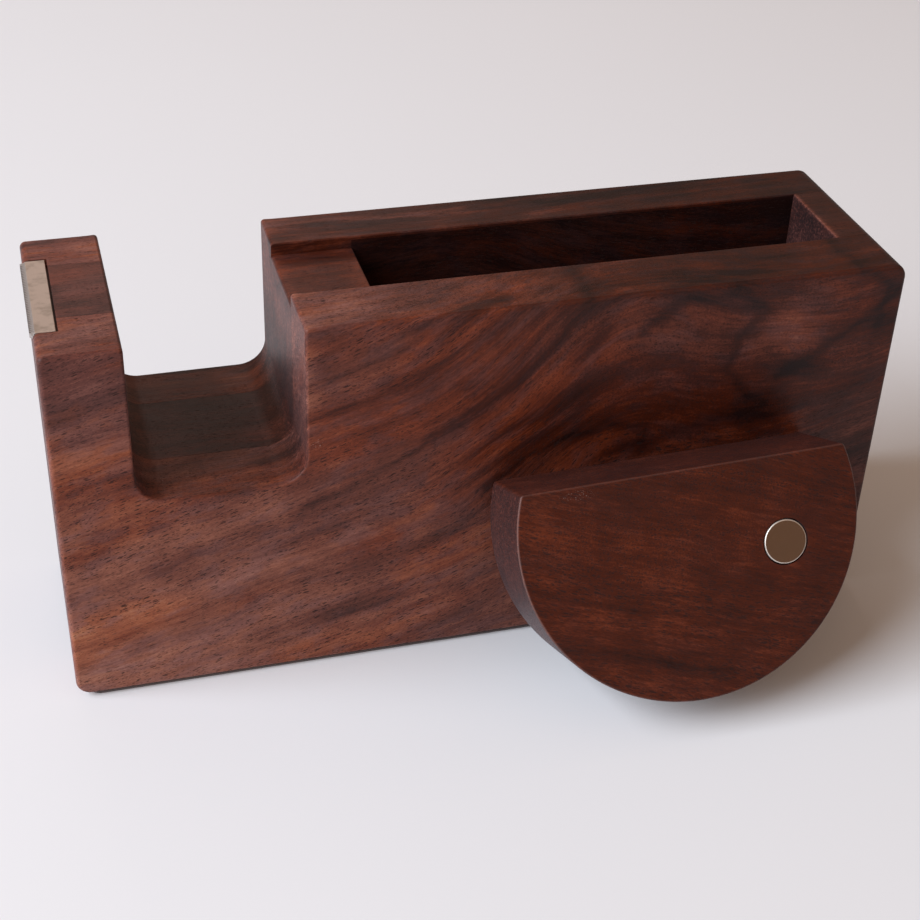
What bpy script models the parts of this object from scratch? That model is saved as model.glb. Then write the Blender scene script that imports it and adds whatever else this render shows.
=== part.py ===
"""Walnut desk tape dispenser: three boards laminated round an open roll well, and a half-moon core
insert that leans on the front. Metres, +Z up, X along the length, -Y to the front, origin at the
middle of the underside."""

import math

import bmesh
import bpy
from mathutils import Matrix, Vector

# Body, in metres
LENGTH = 0.1810
DEPTH = 0.0496
WOOD_HEIGHT = 0.0842
FRONT_THICKNESS = 0.0150
BACK_THICKNESS = 0.0126
GLUE_GAP = 0.0003

# Notch between the cutter post and the housing
POST_WIDTH = 0.0161
NOTCH_WIDTH = 0.0349
NOTCH_DEPTH = 0.0358
NOTCH_CORNER = 0.0063

# Roll well in the core, and the shallow channel that the strip runs along
CHANNEL_DEPTH = 0.0027
CHANNEL_LENGTH = 0.0176
END_WALL = 0.0096
WELL_FLOOR = 0.0090

# Edges: the outline's own corners, and the easing of the outside faces
OUTLINE_CORNER = 0.0032
POST_CORNER = 0.0013
OUTER_EASE = 0.0011
NOTCH_EASE = 0.0007

# Anti-slip sheet under the base
SHEET_THICKNESS = 0.0006
SHEET_INSET_ENDS = 0.0030
SHEET_INSET_SIDES = 0.0008
SHEET_CORNER = 0.0010

# Cutter blade, let into the top of the post
BLADE_LENGTH = 0.0298
BLADE_WIDTH = 0.0050
BLADE_THICKNESS = 0.0012
BLADE_OVERHANG = 0.0005
TOOTH_PITCH = 0.0007
TOOTH_DEPTH = 0.0010
RECESS_GAP = 0.0004

# Half-moon insert for a 76 mm core
INSERT_RADIUS = 0.0375
INSERT_THICKNESS = 0.0212
CHORD_HEIGHT = 0.0120
INSERT_CORNER = 0.0009
INSERT_EASE = 0.0005
LEAN = math.radians(26.34)
ROLL = math.radians(2.07)
TURN = math.radians(-0.92)
INSERT_X = 0.0360
REST_GAP = 0.0003

# Magnets: one in the insert's face, one facing it in the front board's inner side
MAGNET_RADIUS = 0.0048
MAGNET_THICKNESS = 0.0030
POCKET_RADIUS = 0.0051
POCKET_DEPTH = 0.0033
MAGNET_CHAMFER = 0.0002
MAGNET_ACROSS = 0.0205
MAGNET_DOWN = 0.0068

# Centre of the insert's circle when it hangs in the well, where the wall magnet waits for it
STOWED_X = 0.0300
STOWED_Z = 0.0620

# Worked out from the sizes above
X_LEFT = -LENGTH / 2
X_RIGHT = LENGTH / 2
Y_FRONT = -DEPTH / 2
Y_BACK = DEPTH / 2
Z_WOOD = SHEET_THICKNESS + GLUE_GAP
Z_TOP = SHEET_THICKNESS + WOOD_HEIGHT
X_POST = X_LEFT + POST_WIDTH
X_HOUSING = X_POST + NOTCH_WIDTH
Z_NOTCH = Z_TOP - NOTCH_DEPTH
X_WELL_LEFT = X_HOUSING + CHANNEL_LENGTH
X_WELL_RIGHT = X_RIGHT - END_WALL
Z_CHANNEL = Z_TOP - CHANNEL_DEPTH
Z_WELL = Z_WOOD + WELL_FLOOR
Y_CORE_FRONT = Y_FRONT + FRONT_THICKNESS
Y_CORE_BACK = Y_BACK - BACK_THICKNESS

# How finely curves are divided, and how far a cutter reaches past the wood
ARC_STEP = math.radians(9)
INSERT_STEPS = 72
INSERT_CORNER_STEPS = 6
ROUND_SIDES = 48
SAME_POINT = 1e-5
CUTTER_MARGIN = 0.0020


def clear_scene():
    for old in list(bpy.data.objects):
        bpy.data.objects.remove(old, do_unlink=True)


def new_collection(name):
    collection = bpy.data.collections.new(name)
    bpy.context.scene.collection.children.link(collection)
    return collection


def material(name, colour, roughness, metallic=0.0):
    made = bpy.data.materials.new(name)
    made.use_nodes = True
    shader = made.node_tree.nodes["Principled BSDF"]
    shader.inputs["Base Color"].default_value = (*colour, 1.0)
    shader.inputs["Roughness"].default_value = roughness
    shader.inputs["Metallic"].default_value = metallic
    return made


def round_corner(before, corner, after, radius):
    """Points of the arc that rounds one corner of an outline, or the corner itself."""
    if radius <= 0:
        return [corner]
    to_before = (before - corner).normalized()
    to_after = (after - corner).normalized()
    half = to_before.angle(to_after) / 2
    centre = corner + (to_before + to_after).normalized() * radius / math.sin(half)
    start = corner + to_before * radius / math.tan(half) - centre
    sweep = math.pi - 2 * half
    if to_before.cross(to_after) > 0:
        sweep = -sweep
    steps = max(2, round(abs(sweep) / ARC_STEP))
    return [centre + Matrix.Rotation(sweep * i / steps, 2) @ start for i in range(steps + 1)]


def outline(corners):
    """Turn (x, z, radius) corners into the points of a closed outline."""
    places = [Vector(corner[:2]) for corner in corners]
    points = []
    for i, corner in enumerate(corners):
        points += round_corner(places[i - 1], places[i], places[(i + 1) % len(places)], corner[2])
    return points


def plate(name, points, thickness, collection):
    """A flat outline in the local XZ plane, given its thickness along local +Y."""
    curve = bpy.data.curves.new(name + "_outline", "CURVE")
    curve.dimensions = "2D"
    curve.fill_mode = "BOTH"
    curve.extrude = thickness / 2
    spline = curve.splines.new("POLY")
    spline.points.add(len(points) - 1)
    for place, point in zip(spline.points, points):
        place.co = (point.x, point.y, 0.0, 1.0)
    spline.use_cyclic_u = True
    drawn = bpy.data.objects.new(name + "_curve", curve)
    bpy.context.scene.collection.objects.link(drawn)
    bpy.context.view_layer.update()
    mesh = bpy.data.meshes.new_from_object(drawn.evaluated_get(bpy.context.evaluated_depsgraph_get()))
    bpy.data.objects.remove(drawn, do_unlink=True)

    solid = bmesh.new()
    solid.from_mesh(mesh)
    bmesh.ops.remove_doubles(solid, verts=solid.verts, dist=1e-6)
    upright = Matrix.Translation((0, thickness / 2, 0)) @ Matrix.Rotation(math.pi / 2, 4, "X")
    bmesh.ops.transform(solid, matrix=upright, verts=solid.verts)
    bmesh.ops.dissolve_limit(solid, angle_limit=math.radians(1), verts=solid.verts, edges=solid.edges)
    bmesh.ops.recalc_face_normals(solid, faces=solid.faces)
    solid.to_mesh(mesh)
    solid.free()
    mesh.name = name
    made = bpy.data.objects.new(name, mesh)
    collection.objects.link(made)
    return made


def ease_edges(piece, width, weight_of, segments=3):
    """Round the edges that weight_of gives a weight, each to width times its weight."""
    mesh = piece.data
    weights = mesh.attributes.new("bevel_weight_edge", "FLOAT", "EDGE")
    for edge in mesh.edges:
        ends = [mesh.vertices[i].co for i in edge.vertices]
        weights.data[edge.index].value = weight_of(*ends)
    bevel = piece.modifiers.new("eased edges", "BEVEL")
    bevel.limit_method = "WEIGHT"
    bevel.width = width
    bevel.segments = segments


def cut(piece, cutter):
    boolean = piece.modifiers.new("cut by " + cutter.name, "BOOLEAN")
    boolean.object = cutter
    boolean.operation = "DIFFERENCE"
    boolean.solver = "EXACT"


def finish(piece, look):
    piece.data.materials.append(look)
    piece.data.shade_smooth()
    piece.data.set_sharp_from_angle(angle=math.radians(35))


def make_cutter(made, name, collection):
    made.name = name
    made.hide_render = True
    made.display_type = "WIRE"
    for owner in list(made.users_collection):
        owner.objects.unlink(made)
    collection.objects.link(made)
    return made


def block_cutter(name, low, high, collection):
    bpy.ops.mesh.primitive_cube_add(size=1)
    made = bpy.context.active_object
    low, high = Vector(low), Vector(high)
    made.data.transform(Matrix.Translation((low + high) / 2) @ Matrix.Diagonal((*(high - low), 1)))
    return make_cutter(made, name, collection)


def round_cutter(name, radius, low_y, high_y, x, z, collection):
    bpy.ops.mesh.primitive_cylinder_add(vertices=ROUND_SIDES, radius=radius, depth=high_y - low_y)
    made = bpy.context.active_object
    turned = Matrix.Translation((x, (low_y + high_y) / 2, z)) @ Matrix.Rotation(math.pi / 2, 4, "X")
    made.data.transform(turned)
    return make_cutter(made, name, collection)


def body_outline():
    return outline([
        (X_LEFT, Z_WOOD, OUTLINE_CORNER),
        (X_RIGHT, Z_WOOD, OUTLINE_CORNER),
        (X_RIGHT, Z_TOP, OUTLINE_CORNER),
        (X_HOUSING, Z_TOP, 0),
        (X_HOUSING, Z_NOTCH, NOTCH_CORNER),
        (X_POST, Z_NOTCH, NOTCH_CORNER),
        (X_POST, Z_TOP, 0),
        (X_LEFT, Z_TOP, POST_CORNER),
    ])


def core_outline():
    return outline([
        (X_LEFT, Z_WOOD, OUTLINE_CORNER),
        (X_RIGHT, Z_WOOD, OUTLINE_CORNER),
        (X_RIGHT, Z_TOP, OUTLINE_CORNER),
        (X_WELL_RIGHT, Z_TOP, 0),
        (X_WELL_RIGHT, Z_WELL, 0),
        (X_WELL_LEFT, Z_WELL, 0),
        (X_WELL_LEFT, Z_CHANNEL, 0),
        (X_HOUSING, Z_CHANNEL, 0),
        (X_HOUSING, Z_NOTCH, NOTCH_CORNER),
        (X_POST, Z_NOTCH, NOTCH_CORNER),
        (X_POST, Z_TOP, 0),
        (X_LEFT, Z_TOP, POST_CORNER),
    ])


def body_edge_weight(outer_y):
    """Eases the outer face's rim, and the rim of the notch less than the rest."""
    def weight(start, end):
        if abs(start.y - outer_y) > 1e-6 or abs(end.y - outer_y) > 1e-6:
            return 0.0
        middle = (start + end) / 2
        in_notch = X_POST - 1e-6 < middle.x < X_HOUSING + 1e-6 and middle.z > Z_NOTCH - 1e-6
        return NOTCH_EASE / OUTER_EASE if in_notch else 1.0
    return weight


def build_boards(parts, cutters, looks):
    front = plate("front_board", body_outline(), FRONT_THICKNESS - GLUE_GAP, parts)
    ease_edges(front, OUTER_EASE, body_edge_weight(0.0))
    front.location.y = Y_FRONT
    finish(front, looks["front"])

    back = plate("back_board", body_outline(), BACK_THICKNESS - GLUE_GAP, parts)
    ease_edges(back, OUTER_EASE, body_edge_weight(BACK_THICKNESS - GLUE_GAP))
    back.location.y = Y_CORE_BACK + GLUE_GAP
    finish(back, looks["back"])

    core = plate("core_board", core_outline(), Y_CORE_BACK - Y_CORE_FRONT, parts)
    core.location.y = Y_CORE_FRONT
    finish(core, looks["core"])

    half_blade = BLADE_LENGTH / 2 + RECESS_GAP
    recess = block_cutter(
        "blade_recess_cutter",
        (X_LEFT - CUTTER_MARGIN, -half_blade, Z_TOP - BLADE_THICKNESS - GLUE_GAP),
        (X_LEFT + BLADE_WIDTH - BLADE_OVERHANG + RECESS_GAP, half_blade, Z_TOP + CUTTER_MARGIN),
        cutters,
    )
    for board in (front, core, back):
        cut(board, recess)

    pocket = round_cutter(
        "wall_pocket_cutter", POCKET_RADIUS,
        Y_CORE_FRONT - POCKET_DEPTH - GLUE_GAP, Y_CORE_FRONT + CUTTER_MARGIN,
        STOWED_X + MAGNET_ACROSS, STOWED_Z - MAGNET_DOWN, cutters,
    )
    cut(front, pocket)


def build_magnet(name, look, parts):
    """A short cylinder with a small chamfer; its face is at local y = 0 and it reaches back along +Y."""
    bpy.ops.mesh.primitive_cylinder_add(vertices=ROUND_SIDES, radius=MAGNET_RADIUS, depth=MAGNET_THICKNESS)
    made = bpy.context.active_object
    made.name = name
    onto_face = Matrix.Rotation(math.pi / 2, 4, "X")
    made.data.transform(Matrix.Translation((0, MAGNET_THICKNESS / 2, 0)) @ onto_face)
    bevel = made.modifiers.new("chamfer", "BEVEL")
    bevel.limit_method = "ANGLE"
    bevel.width = MAGNET_CHAMFER
    bevel.segments = 2
    for owner in list(made.users_collection):
        owner.objects.unlink(made)
    parts.objects.link(made)
    finish(made, look)
    return made


def build_wall_magnet(parts, looks):
    magnet = build_magnet("wall_magnet", looks["nickel"], parts)
    magnet.location = (
        STOWED_X + MAGNET_ACROSS,
        Y_CORE_FRONT - GLUE_GAP - MAGNET_THICKNESS,
        STOWED_Z - MAGNET_DOWN,
    )


def build_blade(parts, looks):
    """A flat strip with a row of pointed teeth along its outer long edge."""
    teeth = int(BLADE_LENGTH / TOOTH_PITCH)
    root_x = TOOTH_DEPTH
    end_margin = (BLADE_LENGTH - teeth * TOOTH_PITCH) / 2
    points = [Vector((BLADE_WIDTH, 0)), Vector((BLADE_WIDTH, BLADE_LENGTH)), Vector((root_x, BLADE_LENGTH))]
    for i in range(teeth):
        high = BLADE_LENGTH - end_margin - i * TOOTH_PITCH
        points += [Vector((root_x, high)), Vector((0, high - TOOTH_PITCH / 2))]
    points += [Vector((root_x, end_margin)), Vector((root_x, 0))]
    blade = plate("cutter_blade", points, BLADE_THICKNESS, parts)
    blade.data.transform(Matrix.Rotation(math.pi / 2, 4, "X"))
    lowest_y = min(vertex.co.y for vertex in blade.data.vertices)
    lowest_z = min(vertex.co.z for vertex in blade.data.vertices)
    blade.data.transform(Matrix.Translation((0, -lowest_y, -lowest_z)))
    blade.location = (X_LEFT - BLADE_OVERHANG, -BLADE_LENGTH / 2, Z_TOP - BLADE_THICKNESS)
    finish(blade, looks["steel"])


def build_sheet(parts, looks):
    x = LENGTH / 2 - SHEET_INSET_ENDS
    y = DEPTH / 2 - SHEET_INSET_SIDES
    corners = [(-x, -y), (x, -y), (x, y), (-x, y)]
    sheet = plate("anti_slip_sheet", outline([(*c, SHEET_CORNER) for c in corners]), SHEET_THICKNESS, parts)
    sheet.data.transform(Matrix.Rotation(-math.pi / 2, 4, "X"))
    lowest = min(vertex.co.z for vertex in sheet.data.vertices)
    sheet.data.transform(Matrix.Translation((0, 0, -lowest)))
    finish(sheet, looks["rubber"])


def insert_outline():
    """More than half of a circle, with a flat across its top and small round corners there."""
    reach = INSERT_RADIUS - INSERT_CORNER
    corner_z = CHORD_HEIGHT - INSERT_CORNER
    corner_x = math.sqrt(reach ** 2 - corner_z ** 2)
    tangent = math.atan2(corner_z, corner_x)
    sweep = math.pi + 2 * tangent
    points = []
    for i in range(INSERT_STEPS + 1):
        angle = math.pi - tangent + sweep * i / INSERT_STEPS
        points.append(INSERT_RADIUS * Vector((math.cos(angle), math.sin(angle))))
    for side, start in ((1, tangent), (-1, math.pi / 2)):
        for i in range(INSERT_CORNER_STEPS + 1):
            angle = start + (math.pi / 2 - tangent) * i / INSERT_CORNER_STEPS
            spoke = Vector((math.cos(angle), math.sin(angle)))
            points.append(Vector((side * corner_x, corner_z)) + INSERT_CORNER * spoke)
    return [p for i, p in enumerate(points) if (p - points[i - 1]).length > SAME_POINT]


def build_insert(parts, cutters, looks):
    """The half-moon insert and its magnet, leaning with their backs to the front board."""
    seat = bpy.data.objects.new("insert_pose", None)
    seat.rotation_euler = (Matrix.Rotation(TURN, 3, "Z") @ Matrix.Rotation(-LEAN, 3, "X")
                           @ Matrix.Rotation(-ROLL, 3, "Y")).to_euler()
    parts.objects.link(seat)

    insert = plate("core_insert", insert_outline(), INSERT_THICKNESS, parts)

    def rim(start, end):
        on_face = [abs(start.y - y) < 1e-6 and abs(end.y - y) < 1e-6 for y in (0.0, INSERT_THICKNESS)]
        return 1.0 if any(on_face) else 0.0

    ease_edges(insert, INSERT_EASE, rim, segments=2)
    insert.parent = seat
    finish(insert, looks["insert"])

    pocket = round_cutter("insert_pocket_cutter", POCKET_RADIUS, -CUTTER_MARGIN, POCKET_DEPTH,
                          MAGNET_ACROSS, -MAGNET_DOWN, cutters)
    pocket.parent = seat
    cut(insert, pocket)

    magnet = build_magnet("insert_magnet", looks["nickel"], parts)
    magnet.parent = seat
    magnet.location = (MAGNET_ACROSS, 0.0, -MAGNET_DOWN)

    bpy.context.view_layer.update()
    shape = insert.evaluated_get(bpy.context.evaluated_depsgraph_get())
    corners = [insert.matrix_world @ vertex.co for vertex in shape.data.vertices]
    seat.location = (
        INSERT_X,
        Y_FRONT - REST_GAP - max(corner.y for corner in corners),
        -min(corner.z for corner in corners),
    )


def main():
    clear_scene()
    parts = new_collection("tape_dispenser")
    cutters = new_collection("cutters")
    looks = {
        "front": material("walnut_front", (0.170, 0.060, 0.032), 0.45),
        "core": material("walnut_core", (0.130, 0.050, 0.034), 0.45),
        "back": material("walnut_back", (0.160, 0.058, 0.034), 0.45),
        "insert": material("walnut_insert", (0.120, 0.030, 0.015), 0.45),
        "steel": material("blade_steel", (0.42, 0.39, 0.36), 0.35, 1.0),
        "nickel": material("magnet_nickel", (0.62, 0.58, 0.52), 0.20, 1.0),
        "rubber": material("black_rubber", (0.02, 0.02, 0.02), 0.80),
    }
    build_boards(parts, cutters, looks)
    build_wall_magnet(parts, looks)
    build_blade(parts, looks)
    build_sheet(parts, looks)
    build_insert(parts, cutters, looks)


main()
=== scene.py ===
# %% [markdown]
# # A walnut tape dispenser, dressed around its working model
#
# The object is a desk tape dispenser made from three walnut boards glued face to face. A toothed steel
# blade is let into its post, and a loose half-moon of walnut leans on its front. The working model
# already has every size and every joint, so this lesson only makes the surfaces that the eye sees.
#
# The first cell loads that model and keeps its box. Everything later is placed from it.

# %% Load the working model
import math

import bmesh
import bpy
from mathutils import Matrix, Vector


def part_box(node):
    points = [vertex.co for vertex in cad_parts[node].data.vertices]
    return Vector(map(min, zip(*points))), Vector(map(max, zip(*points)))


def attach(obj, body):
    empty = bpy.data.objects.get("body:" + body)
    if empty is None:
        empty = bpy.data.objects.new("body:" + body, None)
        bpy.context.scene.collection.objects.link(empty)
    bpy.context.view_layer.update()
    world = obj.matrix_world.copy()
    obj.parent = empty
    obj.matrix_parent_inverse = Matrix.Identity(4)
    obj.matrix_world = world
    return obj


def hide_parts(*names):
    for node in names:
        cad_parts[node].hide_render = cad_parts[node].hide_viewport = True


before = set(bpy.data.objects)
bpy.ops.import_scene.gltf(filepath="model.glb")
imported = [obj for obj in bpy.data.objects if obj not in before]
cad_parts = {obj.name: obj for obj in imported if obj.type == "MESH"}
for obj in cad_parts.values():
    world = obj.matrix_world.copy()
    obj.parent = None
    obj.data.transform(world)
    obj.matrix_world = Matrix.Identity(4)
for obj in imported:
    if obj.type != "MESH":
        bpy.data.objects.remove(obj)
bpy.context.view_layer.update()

MM = 0.001
print("nodes:", sorted(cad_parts))

# %% [markdown]
# ## Where the walls are
#
# A box gives a board's outer size, but not where its notch or its well begins. Those walls are flat
# faces of the working model, so they can be read from it: faces that look the same way along one axis
# are added up by their place, and the places with enough wood are the walls. That way the finished
# boards can't drift away from the model that they stand for. The one level without a name is the floor
# of the blade's recess, which is placed from the blade itself later on.

# %% Read the flat walls of a board
def flat_levels(node, axis, least_area):
    """Places along one axis where the node has flat faces square to it, lowest first."""
    area_at = {}
    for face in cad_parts[node].data.polygons:
        if abs(face.normal[axis]) > 0.999:
            place = round(face.center[axis] / MM, 2)
            area_at[place] = area_at.get(place, 0.0) + face.area
    return sorted(place * MM for place, area in area_at.items() if area > least_area)


LEAST_WALL = 60e-6
walls_x = flat_levels("core_board", 0, LEAST_WALL)
walls_z = flat_levels("core_board", 2, LEAST_WALL)
X_LEFT, X_POST, X_HOUSING, X_WELL_LEFT, X_WELL_RIGHT, X_RIGHT = walls_x
Z_WOOD, Z_WELL, Z_NOTCH, Z_CHANNEL, _, Z_TOP = walls_z
print("walls across, mm:", [round(x / MM, 2) for x in walls_x])
print("levels up, mm:", [round(z / MM, 2) for z in walls_z])

# %% [markdown]
# ## The outline of a board
#
# Each board is a flat outline that was cut out and then rounded over. An outline is a list of corners,
# and each corner has a radius. The corner's arc is worked out from its two neighbours, and the straight
# runs are divided as well, because the width of the round-over changes slowly along them later on.

# %% Corners into a closed outline
ARC_STEP = math.radians(6)
RUN_STEP = 1.5 * MM


def corner_arc(before, corner, after, radius):
    """The points of the arc that rounds one corner."""
    to_before = (before - corner).normalized()
    to_after = (after - corner).normalized()
    half = to_before.angle(to_after) / 2
    centre = corner + (to_before + to_after).normalized() * radius / math.sin(half)
    start = corner + to_before * radius / math.tan(half) - centre
    sweep = math.copysign(math.pi - 2 * half, -to_before.cross(to_after))
    steps = max(3, round(abs(sweep) / ARC_STEP))
    return [centre + Matrix.Rotation(sweep * i / steps, 2) @ start for i in range(steps + 1)]


def closed_outline(corners):
    """(x, z, radius) corners, in order, into evenly stepped points."""
    places = [Vector(corner[:2]) for corner in corners]
    turns = []
    for i, corner in enumerate(corners):
        turns += corner_arc(places[i - 1], places[i], places[(i + 1) % len(places)], corner[2])
    points = []
    for i, point in enumerate(turns):
        run = turns[(i + 1) % len(turns)] - point
        steps = max(1, round(run.length / RUN_STEP))
        points += [point + run * step / steps for step in range(steps)]
    return points

# %% [markdown]
# ## Rounding the rim
#
# A router bit or sandpaper takes the outer rim off in a quarter round. A Bevel modifier can do this too,
# but here the radius differs from place to place: wide outside, narrow in the notch, barely broken at
# the well. So the board is lofted from rings. Each ring is the outline moved a little inwards, and a
# little nearer to the face, as a quarter circle asks.

# %% Loft a board with rounded rims
ROUND_STEPS = 8


def inward_normals(points):
    """The unit vector into the wood at each point of an outline that runs anticlockwise."""
    normals = []
    for i, point in enumerate(points):
        along = (points[(i + 1) % len(points)] - points[i - 1]).normalized()
        normals.append(Vector((-along.y, along.x)))
    return normals


def rim_rings(points, normals, radii, face_y, inwards_y):
    """Rings from the side wall to the flat face; inwards_y is +1 or -1, from the face into the wood."""
    rings = []
    for step in range(ROUND_STEPS + 1):
        angle = math.pi / 2 * step / ROUND_STEPS
        ring = []
        for point, normal, radius in zip(points, normals, radii):
            moved = point + normal * radius * (1 - math.cos(angle))
            depth = face_y + inwards_y * radius * (1 - math.sin(angle))
            ring.append((moved.x, depth, moved.y))
        rings.append(ring)
    return rings


def lofted_board(name, points, front_y, back_y, front_radii, back_radii):
    """A closed board between two faces, each with its own rounding at every point of the outline."""
    normals = inward_normals(points)
    rings = rim_rings(points, normals, front_radii, front_y, 1)[::-1]
    rings += rim_rings(points, normals, back_radii, back_y, -1)
    solid = bmesh.new()
    rows = [[solid.verts.new(place) for place in ring] for ring in rings]
    count = len(points)
    for row, following in zip(rows, rows[1:]):
        for i in range(count):
            j = (i + 1) % count
            solid.faces.new((row[i], row[j], following[j], following[i]))
    solid.faces.new(rows[0])
    solid.faces.new(rows[-1][::-1])
    return finished_object(name, solid)


def finished_object(name, solid):
    """Turn a finished bmesh into an object in the scene."""
    bmesh.ops.remove_doubles(solid, verts=solid.verts, dist=1e-6)
    bmesh.ops.dissolve_degenerate(solid, dist=1e-6, edges=solid.edges)
    bmesh.ops.recalc_face_normals(solid, faces=solid.faces)
    mesh = bpy.data.meshes.new(name)
    solid.to_mesh(mesh)
    solid.free()
    made = bpy.data.objects.new(name, mesh)
    bpy.context.scene.collection.objects.link(made)
    return made

# %% [markdown]
# ## Cutting recesses
#
# The blade's recess and the magnets' pockets are taken out with a Boolean, as a chisel and a drill would
# take them out of the wood. The cut is applied at once and the cutter is thrown away, so that nothing
# hidden is left behind. Weighted normals then keep the wide faces flat to the eye beside the rounding.

# %% Cut, and shade
SHARP_OVER = 40


def cut_out(cutter, *pieces):
    """Take the cutter's shape out of every piece, and throw the cutter away."""
    for piece in pieces:
        boolean = piece.modifiers.new("cut", "BOOLEAN")
        boolean.object = cutter
        boolean.solver = "EXACT"
        bpy.context.view_layer.update()
        shaped = piece.evaluated_get(bpy.context.evaluated_depsgraph_get())
        rough = piece.data
        piece.data = bpy.data.meshes.new_from_object(shaped)
        piece.data.name = piece.name
        piece.modifiers.clear()
        bpy.data.meshes.remove(rough)
    bpy.data.objects.remove(cutter, do_unlink=True)


def box_cutter(low, high):
    low, high = Vector(low), Vector(high)
    stretch = Matrix.Diagonal((*(high - low), 1))
    solid = bmesh.new()
    bmesh.ops.create_cube(solid, size=1.0)
    bmesh.ops.transform(solid, matrix=Matrix.Translation((low + high) / 2) @ stretch, verts=solid.verts)
    return finished_object("cutter", solid)


def drill(radius, depth_from, depth_to, x, z):
    """A round cutter whose axis lies along Y."""
    solid = bmesh.new()
    bmesh.ops.create_cone(solid, cap_ends=True, segments=128, radius1=radius, radius2=radius,
                          depth=depth_to - depth_from)
    turned = Matrix.Translation((x, (depth_from + depth_to) / 2, z)) @ Matrix.Rotation(math.pi / 2, 4, "X")
    bmesh.ops.transform(solid, matrix=turned, verts=solid.verts)
    return finished_object("cutter", solid)


def smooth_with_flats(piece):
    piece.data.shade_smooth()
    piece.data.set_sharp_from_angle(angle=math.radians(SHARP_OVER))
    weighted = piece.modifiers.new("flat faces stay flat", "WEIGHTED_NORMAL")
    weighted.keep_sharp = True
    weighted.weight = 90

# %% [markdown]
# ## The three boards
#
# The front and the back board share one outline, with the notch sawn through it. The core board is a
# frame: it has the notch, the shallow channel that the strip of tape slides along, and the well for the
# roll. Glue lines on sanded wood are hairlines, so the boards are brought to within a few hundredths of
# a millimetre of each other. Outside, the rim is well rounded; the notch is only softened; and where a
# board's inner edge looks into the well, its corner is just broken with sandpaper.

# %% Outlines of the boards
OUTER_CORNER = 3.2 * MM
NOTCH_CORNER = 6.3 * MM
MOUTH_CORNER = 0.8 * MM
WELL_EASE = 0.35 * MM
POST_CORNER = 1.3 * MM
FRONT_ROUND = 1.0 * MM
BACK_ROUND = 0.9 * MM
NOTCH_ROUND = 0.6 * MM
MOUTH_ROUND = 0.7 * MM
GLUE_EASE = 0.03 * MM
HAIRLINE = 0.03 * MM
MOUTH_REACH = 12 * MM
CHANGE_OVER = 2 * MM
TOUCHING = 0.1 * MM


def board_outline(*housing):
    """All boards share these corners; only the way along the top of the housing differs."""
    return closed_outline([
        (X_LEFT, Z_WOOD, OUTER_CORNER),
        (X_RIGHT, Z_WOOD, OUTER_CORNER),
        (X_RIGHT, Z_TOP, OUTER_CORNER),
        *housing,
        (X_HOUSING, Z_NOTCH, NOTCH_CORNER),
        (X_POST, Z_NOTCH, NOTCH_CORNER),
        (X_POST, Z_TOP, MOUTH_CORNER),
        (X_LEFT, Z_TOP, POST_CORNER),
    ])


def fade(value, start, end):
    """0 at start, 1 at end, with soft ends."""
    t = min(1.0, max(0.0, (value - start) / (end - start)))
    return t * t * (3 - 2 * t)


def outer_rounding(point, widest):
    """Radius of the round-over at a point of the outline: narrow in the notch, wide elsewhere."""
    between_walls = X_POST - TOUCHING < point.x < X_HOUSING + TOUCHING
    if between_walls and point.y > Z_NOTCH - TOUCHING:
        near_mouth = fade(point.y, Z_TOP - MOUTH_REACH, Z_TOP - MOUTH_CORNER)
        return NOTCH_ROUND + (MOUTH_ROUND - NOTCH_ROUND) * near_mouth
    if point.y < Z_NOTCH:
        return widest
    from_mouth = max(X_POST - point.x, point.x - X_HOUSING) - MOUTH_CORNER
    return MOUTH_ROUND + (widest - MOUTH_ROUND) * fade(from_mouth, 0.0, CHANGE_OVER)


def inner_rounding(point):
    """The inner edge is broken only where it looks into the channel or the well."""
    over_well = X_HOUSING < point.x < X_WELL_RIGHT and point.y > Z_TOP - MOUTH_CORNER
    if not over_well:
        return GLUE_EASE
    ends = min(point.x - X_HOUSING, X_WELL_RIGHT - point.x)
    return GLUE_EASE + (WELL_EASE - GLUE_EASE) * fade(ends, 0.0, CHANGE_OVER)

# %% [markdown]
# The outer boards get a rounding for every point of the outline, on the outside and on the inside. The
# core is covered on both sides, so its edges stay square. All three are closed solids, which the
# Boolean in the next step needs.

# %% Make the boards
front_low, front_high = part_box("front_board")
back_low, back_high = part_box("back_board")
core_low, core_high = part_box("core_board")
side = board_outline((X_HOUSING, Z_TOP, MOUTH_CORNER))
round_front = [outer_rounding(point, FRONT_ROUND) for point in side]
round_back = [outer_rounding(point, BACK_ROUND) for point in side]
break_inside = [inner_rounding(point) for point in side]
core = board_outline(
    (X_WELL_RIGHT, Z_TOP, WELL_EASE),
    (X_WELL_RIGHT, Z_WELL, WELL_EASE),
    (X_WELL_LEFT, Z_WELL, WELL_EASE),
    (X_WELL_LEFT, Z_CHANNEL, WELL_EASE),
    (X_HOUSING, Z_CHANNEL, MOUTH_CORNER),
)
square = [0.0] * len(core)

front_board = lofted_board("front_board_wood", side, front_low[1], core_low[1] - HAIRLINE,
                           round_front, break_inside)
back_board = lofted_board("back_board_wood", side, core_high[1] + HAIRLINE, back_high[1],
                          break_inside, round_back)
core_board = lofted_board("core_board_wood", core, core_low[1], core_high[1], square, square)
boards = (front_board, core_board, back_board)
print("board faces:", [len(board.data.polygons) for board in boards])

# %% [markdown]
# The blade lies in a shallow recess that is a little longer and wider than the blade itself. The thin
# dark slot that this leaves round three sides is easy to see on the real piece. The hidden magnet's
# pocket is drilled into the front board from the well.

# %% Recess for the blade, and the pocket of the hidden magnet
blade_low, blade_high = (Vector(corner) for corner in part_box("cutter_blade"))
wall_low, wall_high = (Vector(corner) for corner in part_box("wall_magnet"))
SLOT_RIGHT = 0.42 * MM
SLOT_BACK = 0.45 * MM
SLOT_FRONT = 0.18 * MM
BEYOND = 2 * MM

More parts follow.
